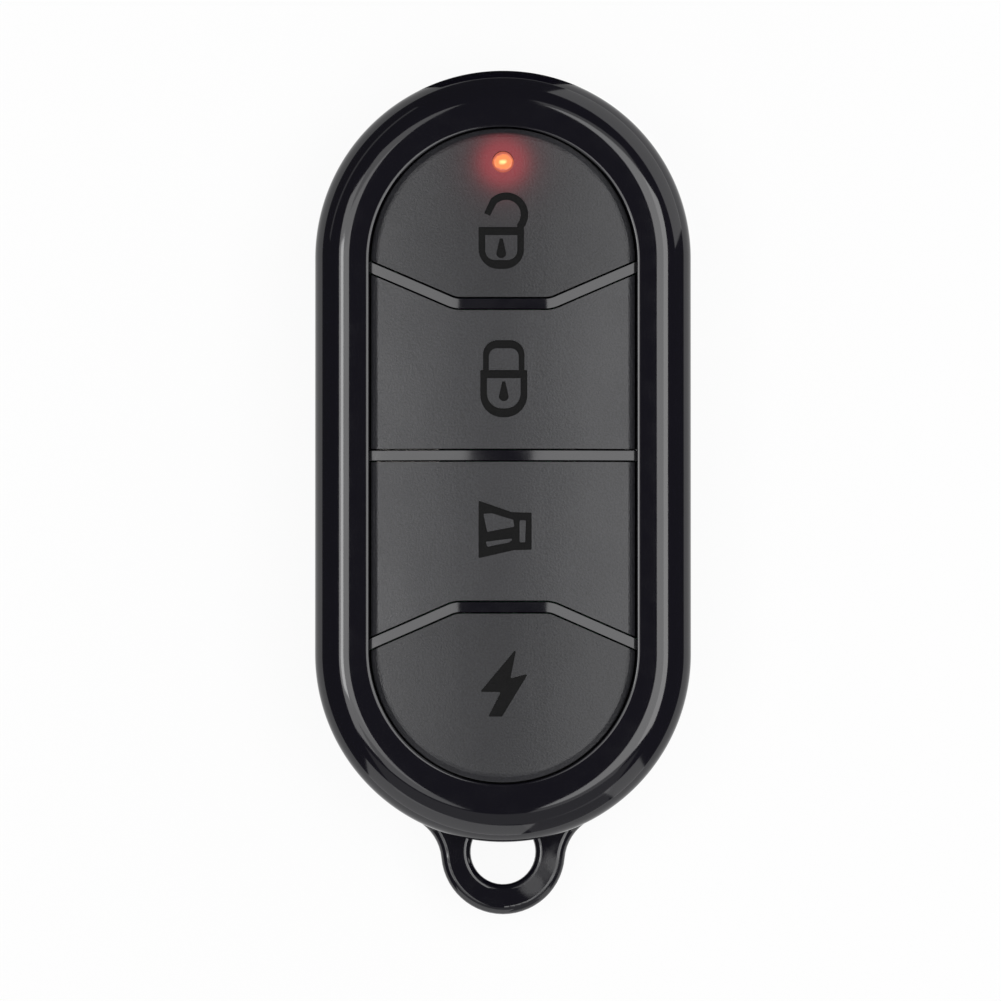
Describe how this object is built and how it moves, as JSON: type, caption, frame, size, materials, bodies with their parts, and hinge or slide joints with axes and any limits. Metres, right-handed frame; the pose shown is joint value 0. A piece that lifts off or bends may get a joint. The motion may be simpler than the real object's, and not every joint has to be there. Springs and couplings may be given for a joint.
{
  "type": "remote control",
  "caption": "Slim round-ended key-ring remote with sprung keys in a gloss case, a signal lamp and an end loop",
  "frame": {"origin": "middle of the flat back, halfway between the centres of the two round ends", "axes": "+Z out of the face with the keys, +Y along the case away from the key-ring loop, +X to the right of the keys"},
  "size_m": [0.03, 0.0674, 0.012],
  "materials": {
    "gloss_black": "piano gloss",
    "key_grey": "finely spark-eroded matt",
    "symbol_black": "matt fill",
    "lamp_amber": "lit light pipe",
    "board_green": "solder mask",
    "cell_can": "nickel plated",
    "spring_metal": "nickel plated",
    "led_body": "milky lamp",
    "chip_resin": "moulded resin",
    "tinned_lead": "tinned",
    "metal_can": "plated",
    "ferrite": "sintered",
    "capacitor_ceramic": "sintered",
    "copper": "bare copper",
    "switch_resin": "moulded",
    "screw_steel": "zinc plated"
  },
  "bodies": {
    "case": {"front_shell": "gloss_black", "rear_cover": "gloss_black", "circuit_board": "board_green", "coin_cell": "cell_can", "battery_clip": "spring_metal", "battery_negative_contact": "spring_metal", "status_led": "led_body", "encoder_chip": "chip_resin", "encoder_chip_pins": "tinned_lead", "rf_transistor": "chip_resin", "rf_transistor_pins": "tinned_lead", "saw_resonator": "metal_can", "rf_inductor": "ferrite", "chip_resistors": "chip_resin", "chip_capacitors": "capacitor_ceramic", "antenna_trace": "copper", "case_screws": "screw_steel", "unlock_switch_base": "switch_resin", "unlock_switch_leads": "tinned_lead", "unlock_switch_dome": "spring_metal", "unlock_switch_cover": "metal_can", "lock_switch_base": "switch_resin", "lock_switch_leads": "tinned_lead", "lock_switch_dome": "spring_metal", "lock_switch_cover": "metal_can", "horn_switch_base": "switch_resin", "horn_switch_leads": "tinned_lead", "horn_switch_dome": "spring_metal", "horn_switch_cover": "metal_can", "flash_switch_base": "switch_resin", "flash_switch_leads": "tinned_lead", "flash_switch_dome": "spring_metal", "flash_switch_cover": "metal_can"},
    "unlock_key": {"unlock_key": "key_grey", "unlock_symbol": "symbol_black", "led_lens": "lamp_amber"},
    "unlock_plunger": {"unlock_switch_plunger": "switch_resin"},
    "lock_key": {"lock_key": "key_grey", "lock_symbol": "symbol_black"},
    "lock_plunger": {"lock_switch_plunger": "switch_resin"},
    "horn_key": {"horn_key": "key_grey", "horn_symbol": "symbol_black"},
    "horn_plunger": {"horn_switch_plunger": "switch_resin"},
    "flash_key": {"flash_key": "key_grey", "flash_symbol": "symbol_black"},
    "flash_plunger": {"flash_switch_plunger": "switch_resin"}
  },
  "joints": [
    {"name": "unlock_press", "type": "slide", "parent": "case", "child": "unlock_key", "axis": [0, 0, -1], "range_m": [0, 0.0005], "stiffness_N_per_m": 3000},
    {"name": "unlock_plunger_press", "type": "slide", "parent": "case", "child": "unlock_plunger", "axis": [0, 0, -1], "range_m": [0, 0.0005], "deforming": ["unlock_switch_dome"]},
    {"name": "lock_press", "type": "slide", "parent": "case", "child": "lock_key", "axis": [0, 0, -1], "range_m": [0, 0.0005], "stiffness_N_per_m": 3000},
    {"name": "lock_plunger_press", "type": "slide", "parent": "case", "child": "lock_plunger", "axis": [0, 0, -1], "range_m": [0, 0.0005], "deforming": ["lock_switch_dome"]},
    {"name": "horn_press", "type": "slide", "parent": "case", "child": "horn_key", "axis": [0, 0, -1], "range_m": [0, 0.0005], "stiffness_N_per_m": 3000},
    {"name": "horn_plunger_press", "type": "slide", "parent": "case", "child": "horn_plunger", "axis": [0, 0, -1], "range_m": [0, 0.0005], "deforming": ["horn_switch_dome"]},
    {"name": "flash_press", "type": "slide", "parent": "case", "child": "flash_key", "axis": [0, 0, -1], "range_m": [0, 0.0005], "stiffness_N_per_m": 3000},
    {"name": "flash_plunger_press", "type": "slide", "parent": "case", "child": "flash_plunger", "axis": [0, 0, -1], "range_m": [0, 0.0005], "deforming": ["flash_switch_dome"]}
  ],
  "couplings": [
    {"joint": "unlock_plunger_press", "follows": "unlock_press", "ratio": 1},
    {"joint": "lock_plunger_press", "follows": "lock_press", "ratio": 1},
    {"joint": "horn_plunger_press", "follows": "horn_press", "ratio": 1},
    {"joint": "flash_plunger_press", "follows": "flash_press", "ratio": 1}
  ]
}
